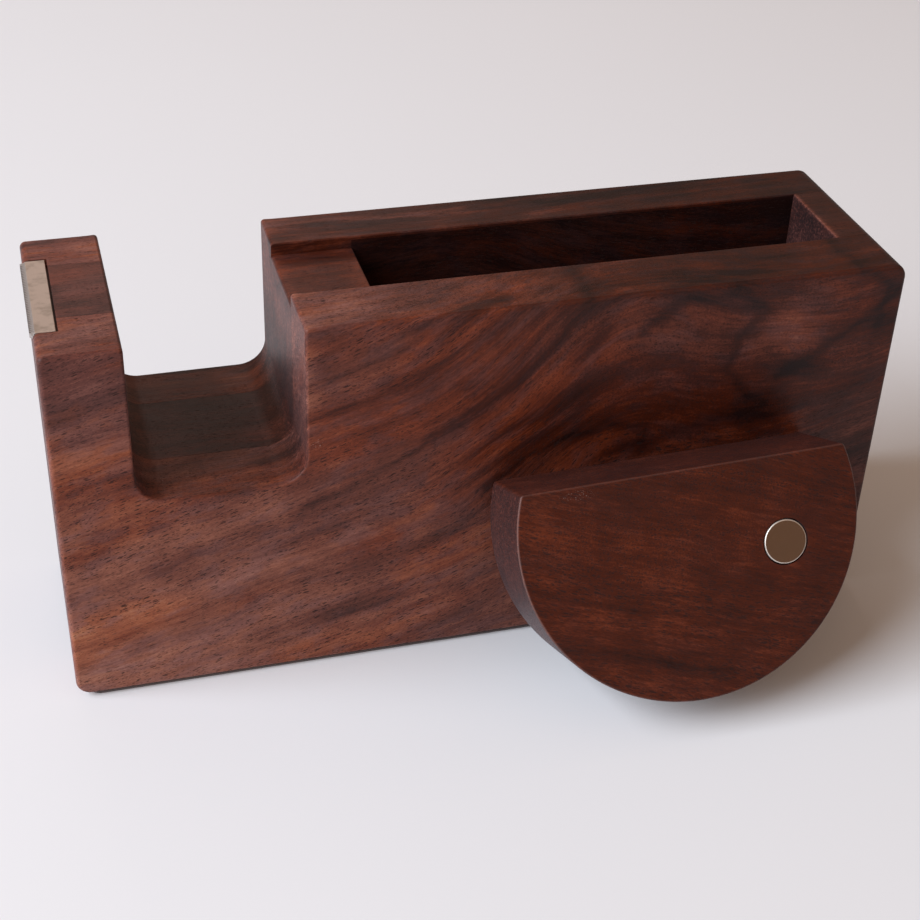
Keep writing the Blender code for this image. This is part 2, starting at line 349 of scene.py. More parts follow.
recess = box_cutter(
    (X_LEFT - BEYOND, blade_low.y - SLOT_FRONT, blade_low.z - HAIRLINE),
    (blade_high.x + SLOT_RIGHT, blade_high.y + SLOT_BACK, Z_TOP + BEYOND),
)
cut_out(recess, *boards)

wall_middle = (wall_low + wall_high) / 2
magnet_radius = (wall_high.x - wall_low.x) / 2
RING_GAP = 0.25 * MM
pocket = drill(magnet_radius + RING_GAP, wall_low.y - HAIRLINE, core_low[1] + BEYOND,
               wall_middle.x, wall_middle.z)
cut_out(pocket, front_board)
for board in boards:
    smooth_with_flats(board)
print("recess, mm:", [round(v / MM, 2) for v in (blade_high - blade_low)])

# %% [markdown]
# ## The half-moon insert
#
# The insert is more than half of a disc with a flat across its top. It leans, so its place is a
# rotation as well as a point. Both are read from the working model: its widest flat face is the front,
# and the flat that looks most nearly upwards is the top. In its own frame the insert is easy to draw, and
# its grain follows it when it is lifted.

# %% How the insert leans
def widest_direction(node, wanted):
    """Direction of the flat face with the most area among those that wanted() accepts."""
    area_towards = {}
    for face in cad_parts[node].data.polygons:
        key = tuple(round(part, 2) for part in face.normal)
        total, weighted = area_towards.get(key, (0.0, Vector()))
        area_towards[key] = (total + face.area, weighted + face.normal * face.area)
    choices = [entry for entry in area_towards.values() if wanted(entry[1].normalized())]
    return max(choices, key=lambda entry: entry[0])[1].normalized()


into_wood = -widest_direction("core_insert", lambda way: way.y < -0.5)
upwards = widest_direction("core_insert", lambda way: way.z > 0.6 and abs(way.dot(into_wood)) < 0.2)
upwards = (upwards - into_wood * upwards.dot(into_wood)).normalized()
sideways = into_wood.cross(upwards)
lean = Matrix((sideways, into_wood, upwards)).transposed()

own = [lean.transposed() @ vertex.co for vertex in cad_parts["core_insert"].data.vertices]
own_low = Vector(min(point[axis] for point in own) for axis in range(3))
own_high = Vector(max(point[axis] for point in own) for axis in range(3))
DISC_RADIUS = (own_high.x - own_low.x) / 2
DISC_THICKNESS = own_high.y - own_low.y
FLAT_HEIGHT = own_high.z - own_low.z - DISC_RADIUS
disc_centre = Vector(((own_low.x + own_high.x) / 2, own_low.y, own_low.z + DISC_RADIUS))
seat = Matrix.Translation(lean @ disc_centre) @ lean.to_4x4()
print("disc radius, thickness, flat above centre, mm:",
      [round(v / MM, 2) for v in (DISC_RADIUS, DISC_THICKNESS, FLAT_HEIGHT)])

# %% [markdown]
# The outline is one long arc and one flat, joined by two small corners. A corner's arc touches the long
# arc from inside, so its centre lies on a circle that is smaller by its own radius. The corners and rims
# are only just broken: on the real piece they catch the light as a thin bright line.

# %% Draw the insert and drill it
DISC_CORNER = 0.9 * MM
DISC_ROUND = 0.5 * MM
CORNER_STEPS = 14
FLAT_STEPS = 40
LONG_STEPS = 200


def half_moon_outline():
    """Anticlockwise from the right-hand corner of the flat: corner, flat, corner, and the long arc."""
    corner_z = FLAT_HEIGHT - DISC_CORNER
    corner_x = math.sqrt((DISC_RADIUS - DISC_CORNER) ** 2 - corner_z ** 2)
    tangent = math.atan2(corner_z, corner_x)
    points = []
    for side_sign, start in ((1, tangent), (-1, math.pi / 2)):
        for i in range(CORNER_STEPS + 1):
            angle = start + (math.pi / 2 - tangent) * i / CORNER_STEPS
            spoke = Vector((math.cos(angle), math.sin(angle)))
            points.append(Vector((side_sign * corner_x, corner_z)) + spoke * DISC_CORNER)
        if side_sign > 0:
            flat = Vector((-2 * corner_x, 0))
            points += [points[-1] + flat * i / FLAT_STEPS for i in range(1, FLAT_STEPS)]
    sweep = math.pi + 2 * tangent
    for i in range(1, LONG_STEPS):
        angle = math.pi - tangent + sweep * i / LONG_STEPS
        points.append(DISC_RADIUS * Vector((math.cos(angle), math.sin(angle))))
    return points


magnet_points = [vertex.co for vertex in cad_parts["insert_magnet"].data.vertices]
magnet_world = sum(magnet_points, Vector()) / len(magnet_points)
magnet_own = seat.inverted() @ magnet_world
MAGNET_DEPTH = wall_high.y - wall_low.y

disc = half_moon_outline()
disc_round = [DISC_ROUND] * len(disc)
insert = lofted_board("insert_wood", disc, 0.0, DISC_THICKNESS, disc_round, disc_round)
pocket = drill(magnet_radius + RING_GAP, -BEYOND, MAGNET_DEPTH + HAIRLINE, magnet_own.x, magnet_own.z)
cut_out(pocket, insert)
smooth_with_flats(insert)
insert.matrix_world = seat
print("insert magnet in the insert's own frame, mm:", [round(v / MM, 2) for v in magnet_own])

# %% [markdown]
# ## The disc magnets
#
# A nickel-plated magnet is a short cylinder whose rim is softened by the plating. It is turned here
# from a profile, spun round its axis: flat face, small rounded rim, straight side. One magnet lies in
# the insert's face and its partner in the wall of the well.

# %% Turn a magnet
RIM = 0.35 * MM
RIM_STEPS = 6
TURN_STEPS = 96


def turned_magnet(name, radius, depth):
    """Its face is at local y = 0 and it reaches back along +Y."""
    quarter = [math.pi / 2 * i / RIM_STEPS for i in range(RIM_STEPS + 1)]
    profile = [(0.0, 0.0)]
    profile += [(radius - RIM + RIM * math.sin(a), RIM - RIM * math.cos(a)) for a in quarter]
    profile += [(radius - RIM + RIM * math.cos(a), depth - RIM + RIM * math.sin(a)) for a in quarter]
    profile.append((0.0, depth))
    solid = bmesh.new()
    line = [solid.verts.new((across, along, 0.0)) for across, along in profile]
    edges = [solid.edges.new(pair) for pair in zip(line, line[1:])]
    bmesh.ops.spin(solid, geom=line + edges, cent=(0, 0, 0), axis=(0, 1, 0), angle=2 * math.pi,
                   steps=TURN_STEPS)
    return finished_object(name, solid)


insert_magnet = turned_magnet("insert_magnet_nickel", magnet_radius, MAGNET_DEPTH)
insert_magnet.matrix_world = seat @ Matrix.Translation((magnet_own.x, 0.0, magnet_own.z))
wall_magnet = turned_magnet("wall_magnet_nickel", magnet_radius, MAGNET_DEPTH)
facing_well = Matrix.Rotation(math.pi, 4, "Z")
wall_magnet.matrix_world = Matrix.Translation((wall_middle.x, wall_high.y, wall_middle.z)) @ facing_well
for magnet in (insert_magnet, wall_magnet):
    smooth_with_flats(magnet)
print("magnet radius and depth, mm:", round(magnet_radius / MM, 2), round(MAGNET_DEPTH / MM, 2))

# %% [markdown]
# ## The cutter blade
#
# The blade is a strip of sheet steel whose outer edge is stamped into fine teeth. Each tooth is ground
# on a slope, so the toothed band falls away from the flat and looks greyer. The loop lays one tooth
# after another: its crest runs down to the point, and the valley on either side is cut deeper.

# %% Stamp the blade
TOOTH_PITCH = 0.7 * MM
TOOTH_BAND = 1.05 * MM
VALLEY_REACH = 0.55 * MM
POINT_DROP = 0.16 * MM
VALLEY_DROP = 0.75 * MM
BLADE_EASE = 0.10 * MM


def stamped_blade():
    teeth = int((blade_high.y - blade_low.y) / TOOTH_PITCH)
    margin = (blade_high.y - blade_low.y - teeth * TOOTH_PITCH) / 2
    first = blade_low.y + margin
    left, top, bottom = blade_low.x, blade_high.z, blade_low.z
    last = first + teeth * TOOTH_PITCH
    root = left + TOOTH_BAND
    valley = left + VALLEY_REACH
    dip = top - VALLEY_DROP
    upper = [(root, blade_low.y, top)]
    edge = [(valley, blade_low.y, dip)]
    for i in range(teeth):
        start = first + i * TOOTH_PITCH
        middle = start + TOOTH_PITCH / 2
        upper += [(root, start, top), (root, middle, top)]
        edge += [(valley, start, dip), (left, middle, top - POINT_DROP)]
    upper += [(root, last, top), (root, blade_high.y, top)]
    edge += [(valley, last, dip), (valley, blade_high.y, dip)]
    lower = [(x, y, bottom) for x, y, z in edge]
    heel_top = [(blade_high.x - BLADE_EASE, y, top) for x, y, z in upper]
    heel_side = [(blade_high.x, y, top - BLADE_EASE) for x, y, z in upper]
    heel_bottom = [(blade_high.x, y, bottom) for x, y, z in upper]

    solid = bmesh.new()
    rows = [[solid.verts.new(place) for place in row]
            for row in (edge, upper, heel_top, heel_side, heel_bottom, lower)]
    for row, following in zip(rows, rows[1:] + rows[:1]):
        for i in range(len(row) - 1):
            solid.faces.new((row[i], row[i + 1], following[i + 1], following[i]))
    for end in (0, -1):
        solid.faces.new([row[end] for row in rows])
    return finished_object("cutter_blade_steel", solid), teeth


blade, teeth = stamped_blade()
blade.data.shade_flat()
print("blade teeth:", teeth)

# %% [markdown]
# ## The anti-slip sheet
#
# A thin sheet of dark foam rubber is stuck under the base, a little inside the wood's outline. Its edge
# is cut with a knife, so it only has a slight softness.

# %% Cut the sheet
sheet_low, sheet_high = (Vector(corner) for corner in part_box("anti_slip_sheet"))
SHEET_CORNER = 2 * MM
SHEET_EASE = 0.15 * MM


def cut_sheet():
    flat = closed_outline([
        (sheet_low.x, sheet_low.y, SHEET_CORNER),
        (sheet_high.x, sheet_low.y, SHEET_CORNER),
        (sheet_high.x, sheet_high.y, SHEET_CORNER),
        (sheet_low.x, sheet_high.y, SHEET_CORNER),
    ])
    eased = [SHEET_EASE] * len(flat)
    made = lofted_board("anti_slip_sheet_rubber", flat, -sheet_high.z, -sheet_low.z, eased, eased)
    made.data.transform(Matrix.Rotation(-math.pi / 2, 4, "X"))
    made.data.transform(Matrix.Scale(-1, 4, (0, 1, 0)))
    made.data.flip_normals()
    return made


sheet = cut_sheet()
smooth_with_flats(sheet)
print("sheet, mm:", [round(v / MM, 2) for v in sheet.dimensions])

# %% [markdown]
# ## A small kit for recipes
#
# Every finish below is a recipe of shader nodes.

# %% The recipe kit
class Recipe:
    def __init__(self, name):
        self.material = bpy.data.materials.new(name)
        self.material.use_nodes = True
        self.tree = self.material.node_tree
        self.shader = self.tree.nodes["Principled BSDF"]

    def node(self, kind, values, **settings):
        made = self.tree.nodes.new(kind)
        for setting, value in settings.items():
            setattr(made, setting, value)
        for socket, value in values.items():
            if isinstance(value, bpy.types.NodeSocket):
                self.tree.links.new(value, made.inputs[socket])
            else:
                made.inputs[socket].default_value = value
        return made

    def maths(self, operation, *values):
        return self.node("ShaderNodeMath", dict(enumerate(values)), operation=operation).outputs[0]

    def place(self):
        """Where a point lies in the piece's own frame."""
        return self.node("ShaderNodeTexCoord", {}).outputs["Object"]

    def parts(self, vector):
        return self.node("ShaderNodeSeparateXYZ", {0: vector}).outputs

    def times(self, first, second):
        return self.maths("MULTIPLY", first, second)

    def times_plus(self, first, second, extra):
        return self.maths("MULTIPLY_ADD", first, second, extra)

    def total(self, *values):
        running = values[0]
        for value in values[1:]:
            running = self.maths("ADD", running, value)
        return running

    def vector(self, x, y, z):
        return self.node("ShaderNodeCombineXYZ", {0: x, 1: y, 2: z}).outputs[0]

    def noise(self, vector, scale, detail=2.0, roughness=0.5, distortion=0.0):
        values = {"Vector": vector, "Scale": scale, "Detail": detail, "Roughness": roughness,
                  "Distortion": distortion}
        return self.node("ShaderNodeTexNoise", values).outputs[0]

    def ease(self, value, start, end, low=0.0, high=1.0):
        """low up to start, high from end on, and a soft step between."""
        values = {"Value": value, "From Min": start, "From Max": end, "To Min": low, "To Max": high}
        return self.node("ShaderNodeMapRange", values, interpolation_type="SMOOTHSTEP").outputs[0]

    def ramp(self, value, stops):
        made = self.node("ShaderNodeValToRGB", {0: value})
        elements = made.color_ramp.elements
        while len(elements) < len(stops):
            elements.new(0.5)
        for element, (place, colour) in zip(elements, stops):
            element.position = place
            element.color = (*colour, 1.0)
        return made.outputs[0]

    def mix(self, amount, first, second):
        return self.node("ShaderNodeMix", {0: amount, 6: first, 7: second}, data_type="RGBA").outputs[2]

    def feed(self, **sockets):
        """Set or link the shader's own sockets; Base_Color means Base Color."""
        for name, value in sockets.items():
            socket = self.shader.inputs[name.replace("_", " ")]
            if isinstance(value, bpy.types.NodeSocket):
                self.tree.links.new(value, socket)
            else:
                socket.default_value = value

    def bump(self, height, distance, strength=1.0):
        values = {"Height": height, "Distance": distance, "Strength": strength}
        self.feed(Normal=self.node("ShaderNodeBump", values).outputs[0])


def paint(piece, material):
    piece.data.materials.clear()
    piece.data.materials.append(material)

# %% [markdown]
# ## Figure: how the grain lines run
#
# Grain lines are contour lines. Where a board is plain they rise gently along it, and where a branch or
# a hollow in the trunk was near, they climb over a hill. So the figure is a height: across the board
# minus the slope, minus a few smooth hills. All textures of the wood are then laid along the contours,
# which is why pores, fibres and dark streaks bend together as they do in walnut.
#
# Places on a board are in millimetres from its lower left corner.

# %% Hills and streaks
def hill(r, x, z, spot):
    """1 in the middle of an oval spot and 0 far from it. spot: x, z, half length, half width, tilt."""
    centre_x, centre_z, reach_x, reach_z, tilt = spot
    c, s = math.cos(math.radians(tilt)), math.sin(math.radians(tilt))
    across = r.maths("SUBTRACT", x, centre_x)
    up = r.maths("SUBTRACT", z, centre_z)
    along = r.times_plus(across, c / reach_x, r.times(up, s / reach_x))
    aside = r.times_plus(across, -s / reach_z, r.times(up, c / reach_z))
    squares = r.times_plus(along, along, r.times(aside, aside))
    return r.maths("POWER", math.e, r.times(squares, -1.0))


def contour_at(figure, x, z):
    """The same height as the nodes work out, for placing a streak on its contour."""
    height = z - figure["slope"] * x
    for spot, lift in figure["hills"]:
        centre_x, centre_z, reach_x, reach_z, tilt = spot
        c, s = math.cos(math.radians(tilt)), math.sin(math.radians(tilt))
        across, up = x - centre_x, z - centre_z
        along = (across * c + up * s) / reach_x
        aside = (up * c - across * s) / reach_z
        height -= lift * math.exp(-along ** 2 - aside ** 2)
    return height

# %% [markdown]
# ## Painted shade in the well
#
# The well is cut out before the boards are glued. Its walls are painted darker than the outside: that is
# painted shade for the deep, dim well. A soft box, a hair larger than the well, tells the wood
# recipe where that is.

# %% Inside the well
SKIN = 0.3
BELOW_TOP = 1.0
WELL_BOX_MM = (
    ((X_WELL_LEFT - X_LEFT) / MM, (X_WELL_RIGHT - X_LEFT) / MM),
    (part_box("core_board")[0][1] / MM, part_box("core_board")[1][1] / MM),
    ((Z_WELL - Z_WOOD) / MM, (Z_TOP - Z_WOOD) / MM - BELOW_TOP),
)


def inside_well(r, board):
    """1 on the walls and floor of the well, in board millimetres, and 0 elsewhere."""
    parts = r.parts(board)
    inside = 1.0
    for part, (low, high) in zip(parts, WELL_BOX_MM):
        above = r.ease(part, low - SKIN, low - SKIN / 2)
        below = r.ease(part, high + SKIN / 2, high + SKIN, 1.0, 0.0)
        inside = r.times(inside, r.times(above, below))
    return inside

# %% [markdown]
# ## Veins
#
# The dark lines in walnut are where the tree laid down more pigment. Each one here is a line through a
# few points, and what the wood sees is its distance from that line: a narrow dark thread in a wide,
# faint halo. A painted texture could do this too, but a distance needs no image and never blurs.

# %% Distance to a vein
WOBBLE = 4.5
HALO = 3.2
THREAD_SHARE = 0.6


def near_line(r, place, points):
    """Distance in mm from a place on the board's face to a line through the points."""
    nearest = None
    for start, end in zip(points, points[1:]):
        span = Vector((end[0] - start[0], end[1] - start[1], 0.0))
        offset = r.node("ShaderNodeVectorMath", {0: place, 1: (*start, 0.0)}, operation="SUBTRACT").outputs[0]
        share = r.node("ShaderNodeVectorMath", {0: offset, 1: span / span.length_squared},
                       operation="DOT_PRODUCT").outputs["Value"]
        share = r.node("ShaderNodeClamp", {"Value": share}).outputs[0]
        foot = r.node("ShaderNodeVectorMath", {0: tuple(span), "Scale": share}, operation="SCALE").outputs[0]
        away = r.node("ShaderNodeVectorMath", {0: offset, 1: foot}, operation="DISTANCE").outputs["Value"]
        nearest = away if nearest is None else r.maths("MINIMUM", nearest, away)
    return nearest


def vein(r, place, points, width, ragged):
    """A smoky line: a narrow dark thread in a wide faint halo."""
    away = r.maths("DIVIDE", near_line(r, place, points), width)
    squared = r.times(away, away)
    thread = r.maths("POWER", math.e, r.times(squared, -1.0))
    halo = r.maths("POWER", math.e, r.times(squared, -1.0 / HALO ** 2))
    halo = r.times(r.times(halo, ragged), 1.0 - THREAD_SHARE)
    return r.times_plus(thread, THREAD_SHARE, halo)


def wobbly(r, place, noise_at):
    """A place pushed to and fro, so that a vein drawn there isn't straight between its points."""
    start = r.maths("SUBTRACT", place, WOBBLE / 2)
    return r.times_plus(r.noise(noise_at, 0.11, 3.0), WOBBLE, start)

# %% [markdown]
# ## A recipe that knows its board
#
# Every layer of the wood asks the same of a point: where it lies in the board, how high the grain stands
# there, whether the grain curls, and whether the surface cuts across it. That is worked out once. The
# pattern is solid, so a board's front, top and ends match where they meet, as sawn wood does.

# %% Begin the recipe of a board
WANDER = 5.0


class WoodRecipe(Recipe):
    """A recipe with a point's place in the board, in millimetres, and the run of the grain there."""

    def __init__(self, name, corner, figure, seed):
        super().__init__(name)
        self.figure = figure
        coordinates = self.node("ShaderNodeTexCoord", {}).outputs
        to_mm = {0: coordinates["Object"], 1: (1 / MM,) * 3, 2: tuple(-c / MM for c in corner)}
        self.board = self.node("ShaderNodeVectorMath", to_mm, operation="MULTIPLY_ADD").outputs[0]
        self.x, self.y, self.z = self.parts(self.board)
        self.depth = self.maths("ADD", self.y, seed)
        self.height = self.grain_height(seed)
        self.curl = 0.0
        for spot in figure["curls"]:
            self.curl = self.maths("MAXIMUM", self.near(spot), self.curl)
        facing = self.parts(coordinates["Normal"])
        self.end_grain = self.times(facing[0], facing[0])
        # The rim mask is 1 on the rounded edges between a face and a side; the walnut recipe paints a
        # highlight there.
        outward = self.times(facing[1], facing[1])
        self.rim = self.times(outward, self.times_plus(outward, -4.0, 4.0))

    def near(self, spot):
        return hill(self, self.x, self.z, spot)

    def with_spots(self, value, key):
        """A value with the spots added that the figure names under that key."""
        for spot, amount in self.figure[key]:
            value = self.times_plus(self.near(spot), amount, value)
        return value

    def grain_height(self, seed):
        """The height on the board, less the grain's slope and hills, plus a slow wander."""
        drift = self.vector(self.times(self.x, 0.5), self.y, self.maths("ADD", self.z, seed))
        wander = self.maths("SUBTRACT", self.noise(drift, 0.045, 2.0), 0.5)
        height = self.times_plus(self.x, -self.figure["slope"], self.z)
        height = self.times_plus(wander, WANDER, height)
        height = self.times_plus(self.y, self.figure["lean"], height)
        for spot, lift in self.figure["hills"]:
            height = self.times_plus(self.near(spot), -lift, height)
        return height

    def along_grain(self, stretch):
        """Coordinates that follow the grain: the smaller the stretch, the longer the marks."""
        return self.vector(self.times(self.x, stretch), self.depth, self.height)

# %% [markdown]
# ## Light and dark
#
# The tone of a point is one number, from 0 for nearly black to 1 for pale. Bands of growth, fibres, fine
# hairs and a faint cloud each push it up or down. Where the grain curls, the hairs turn into an even
# speckle. Streaks and veins darken it. End grain drinks more oil, so it is darker with paler specks. On
# the well's side walls the tone is lowered as painted shade.

# %% The tone of the wood
FIBRES = 0.42
HAIRS = 0.34
CLOUD = 0.36
# How much darker the well's side walls are painted: painted shade.
WELL_SHADE_PAINTED = 0.21


def swing(r, noise, amount):
    """A noise turned into a push, up or down."""
    return r.times(r.maths("SUBTRACT", noise, 0.5), amount)


def growth(r, fibres):
    """What the wood is like where nothing is placed by hand."""
    bands = r.noise(r.along_grain(0.1), 0.20, 2.0, 0.55)
    hairs = r.noise(r.along_grain(0.25), 4.5, 2.0, 0.6)
    speckle = r.maths("SUBTRACT", r.noise(r.board, 2.4, 2.0, 0.7), hairs)
    hairs = r.times_plus(speckle, r.ease(r.curl, 0.1, 0.5), hairs)
    cloud = r.noise(r.board, 0.085, 3.0, 0.6)
    smoke = r.noise(r.along_grain(0.25), 0.085, 3.0, 0.6, 0.4)
    tone = r.total(
        r.figure["tone"],
        swing(r, bands, r.figure["contrast"]),
        swing(r, fibres, FIBRES),
        swing(r, hairs, HAIRS),
        swing(r, cloud, CLOUD),
        r.times(r.x, r.figure["falls"]),
        r.times(r.z, r.figure["rises"]),
    )
    return r.maths("SUBTRACT", tone, r.ease(smoke, 0.52, 0.74, 0.0, r.figure["smoke"]))


def placed_marks(r, tone):
    """Streaks along the grain, veins across it, and lighter or darker spots, some of them painted highlights
    and painted shade.
    """
    ragged = r.ease(r.noise(r.along_grain(0.1), 0.5, 2.0, 0.6), 0.30, 0.62, 0.45, 1.0)
    for streak_x, streak_z, reach, width, darkness in r.figure["streaks"]:
        contour = contour_at(r.figure, streak_x, streak_z)
        mask = hill(r, r.x, r.height, (streak_x, contour, reach, width, 0))
        tone = r.maths("SUBTRACT", tone, r.times(r.times(mask, ragged), darkness))
    drawn = r.vector(wobbly(r, r.x, r.board), wobbly(r, r.z, r.vector(r.z, r.x, r.y)), 0.0)
    for points, width, darkness in r.figure["veins"]:
        mark = vein(r, drawn, points, width, ragged)
        tone = r.maths("SUBTRACT", tone, r.times(mark, darkness))
    return r.with_spots(tone, "lights")


def wood_tone(r, fibres):
    tone = placed_marks(r, growth(r, fibres))
    specks = r.ease(r.noise(r.board, 1.4, 3.0, 0.7), 0.47, 0.62, -0.18, 0.05)
    tone = r.times_plus(r.end_grain, specks, tone)
    side_grain = r.times_plus(r.end_grain, -1.0, 1.0)
    # The well's side walls are painted darker here as painted shade; end grain is left out.
    shaded_well_walls = r.times(inside_well(r, r.board), side_grain)
    return r.times_plus(shaded_well_walls, -WELL_SHADE_PAINTED, tone)

# %% [markdown]
# ## Brown, ember and mauve
#
# Oiled walnut is never one brown. Three colour ramps read the same tone: plain brown, a redder ember where
# the wood glows, and a mauve where it looks smoky. Noises along the grain mix them, with more ember or
# mauve in the spots that the figure names. End grain always leans to mauve: partly the wood's own colour
# there, and partly a painted reflection of the cool lilac sheen that the ends catch.

# %% The colour of the wood
PLAIN_TONES = [(0.0, (0.010, 0.0035, 0.003)), (0.30, (0.045, 0.012, 0.008)), (0.55, (0.135, 0.040, 0.026)),
               (0.78, (0.270, 0.098, 0.062)), (1.0, (0.420, 0.190, 0.125))]
EMBER_TONES = [(0.0, (0.014, 0.003, 0.002)), (0.30, (0.062, 0.010, 0.003)), (0.55, (0.174, 0.034, 0.012)),
               (0.78, (0.325, 0.090, 0.034)), (1.0, (0.460, 0.190, 0.085))]
MAUVE_TONES = [(0.0, (0.010, 0.0045, 0.006)), (0.30, (0.038, 0.016, 0.016)), (0.55, (0.100, 0.043, 0.043)),
               (0.78, (0.190, 0.090, 0.088)), (1.0, (0.320, 0.175, 0.165))]
END_GRAIN_MAUVE_AND_SHEEN = 0.4


def wood_colour(r, tone):
    warmth = r.ease(r.noise(r.along_grain(0.3), 0.07, 2.0), 0.40, 0.66, 0.0, 0.8)
    warmth = r.with_spots(warmth, "embers")
    colour = r.mix(r.maths("MINIMUM", warmth, 1.0), r.ramp(tone, PLAIN_TONES), r.ramp(tone, EMBER_TONES))
    mauve = r.with_spots(r.noise(r.along_grain(0.4), 0.34, 3.0, 0.6), "mauves")
    mauve = r.ease(mauve, 0.44, 0.66, 0.0, r.figure["mauve"])
    # End grain leans to mauve; in part this is a painted reflection of the cool sheen on the ends.
    mauve = r.maths("MAXIMUM", mauve, r.times(r.end_grain, END_GRAIN_MAUVE_AND_SHEEN))
    return r.mix(mauve, colour, r.ramp(tone, MAUVE_TONES))

# %% [markdown]
# ## Pores
#
# Walnut's pores are open tubes along the grain. On a face they show as short dark dashes, and as dots
# where the grain curls or is cut across. A Voronoi texture has one cell for each pore: its cells are
# stretched along the grain, and only the middle of a cell is dark. Large and small ones are laid over
# each other, and they crowd in some bands more than in others.

# %% Open pores
SMALL_PORES = 0.85
DOT_PORES = 0.8


def pores(r, height, per_mm_along, per_mm_across, largest):
    """1 in the dashes of one size of pore, whose length and width follow from how many fit in a mm."""
    cell = r.vector(r.times(r.x, per_mm_along), r.times(r.depth, per_mm_across),
                    r.times(height, per_mm_across))
    dots = r.node("ShaderNodeTexVoronoi", {"Vector": cell, "Scale": 1.0})
    chance = r.parts(dots.outputs["Color"])[0]
    size = r.times_plus(chance, largest * 0.65, largest * 0.35)
    return r.ease(r.maths("DIVIDE", dots.outputs["Distance"], size), 0.75, 1.15, 1.0, 0.0)


def open_pores(r):
    wide = r.figure["pores"]
    straight = r.maths("SUBTRACT", 1.0, r.ease(r.curl, 0.25, 0.7))
    large = r.times(pores(r, r.height, 0.42, 1.9, 0.33 * wide), straight)
    small = r.times(pores(r, r.height, 1.0, 3.0, 0.35 * wide), SMALL_PORES)
    curled = r.ease(r.curl, 0.1, 0.5, 0.35, 1.0)
    dots = r.times(pores(r, r.z, 1.4, 1.9, 0.33 * wide), curled)
    dashes = r.maths("MAXIMUM", large, small)
    every = r.maths("MAXIMUM", dashes, r.times(dots, DOT_PORES))
    crowd = r.ease(r.noise(r.along_grain(0.1), 0.16, 1.0), 0.30, 0.60, 0.45, 1.0)
    return r.times(every, crowd)

# %% [markdown]
# ## Walnut, oiled to a satin
#
# The layers are now laid on top of each other. Oil fills the wood but leaves the pores open, so they are
# sunk by a bump and stay duller than the rest. Handling leaves pale scuffs. The rims are painted lighter,
# most of all where a rim meets end grain: a painted highlight for the thin bright line that the rounded
# edges catch. A trace of sheen gives end grain its bloom.

# %% The whole walnut recipe
PORE_DEPTH = 0.05 * MM
PORE_BROWN = (0.018, 0.006, 0.005, 1.0)
SCUFFED = (0.50, 0.38, 0.34, 1.0)
# The colour of the painted highlight on the rims.
RIM_HIGHLIGHT_COLOUR = (0.52, 0.30, 0.26, 1.0)


def worn(r, colour):
    flecks = r.ease(r.noise(r.board, 3.5, 2.0, 0.7), 0.60, 0.70)
    for spot in r.figure["scuffs"]:
        scuff = r.times(r.ease(r.near(spot), 0.15, 0.6), flecks)
        colour = r.mix(r.times(scuff, 0.6), colour, SCUFFED)
    # The scuffs above are real wear; the rims below get a painted highlight, strongest beside end grain.
    rim_highlight = r.times_plus(r.end_grain, r.figure["rim_highlight"], r.figure["rim_highlight"] / 4)
    return r.mix(r.times(r.rim, rim_highlight), colour, RIM_HIGHLIGHT_COLOUR)


def walnut(name, corner, figure, seed):
    r = WoodRecipe(name, corner, figure, seed)
    fibres = r.noise(r.along_grain(0.1), 1.5, 3.0, 0.65)
    open_pore = open_pores(r)
    colour = wood_colour(r, wood_tone(r, fibres))
    colour = worn(r, r.mix(r.times(open_pore, 0.80), colour, PORE_BROWN))
    rough = r.total(figure["gloss"], swing(r, fibres, 0.16), r.times(open_pore, 0.20))
    r.feed(Base_Color=colour, Roughness=rough, IOR=1.45, Specular_IOR_Level=0.24,
           Sheen_Roughness=0.45, Sheen_Tint=(0.80, 0.86, 1.0, 1.0))
    r.feed(Sheen_Weight=r.times_plus(r.end_grain, 0.055, 0.010))
    r.bump(r.times_plus(open_pore, -1.0, r.times(fibres, 0.35)), PORE_DEPTH, 0.6)
    return r.material

# %% [markdown]
# ## The boards' own figures
#
# No two boards are alike, so each has a figure: how its grain slopes and leans, its tone and how that
# changes along and up the board, and how strong each layer is. Hills, streaks, veins and spots are placed
# one by one, and only those that make a board recognisable.
#
# The front board is lighter at its lower left and darker to the right. Its grain climbs steeply past the
# middle, a dark loop lies below that, and near the upper right a vein winds round a pale patch.

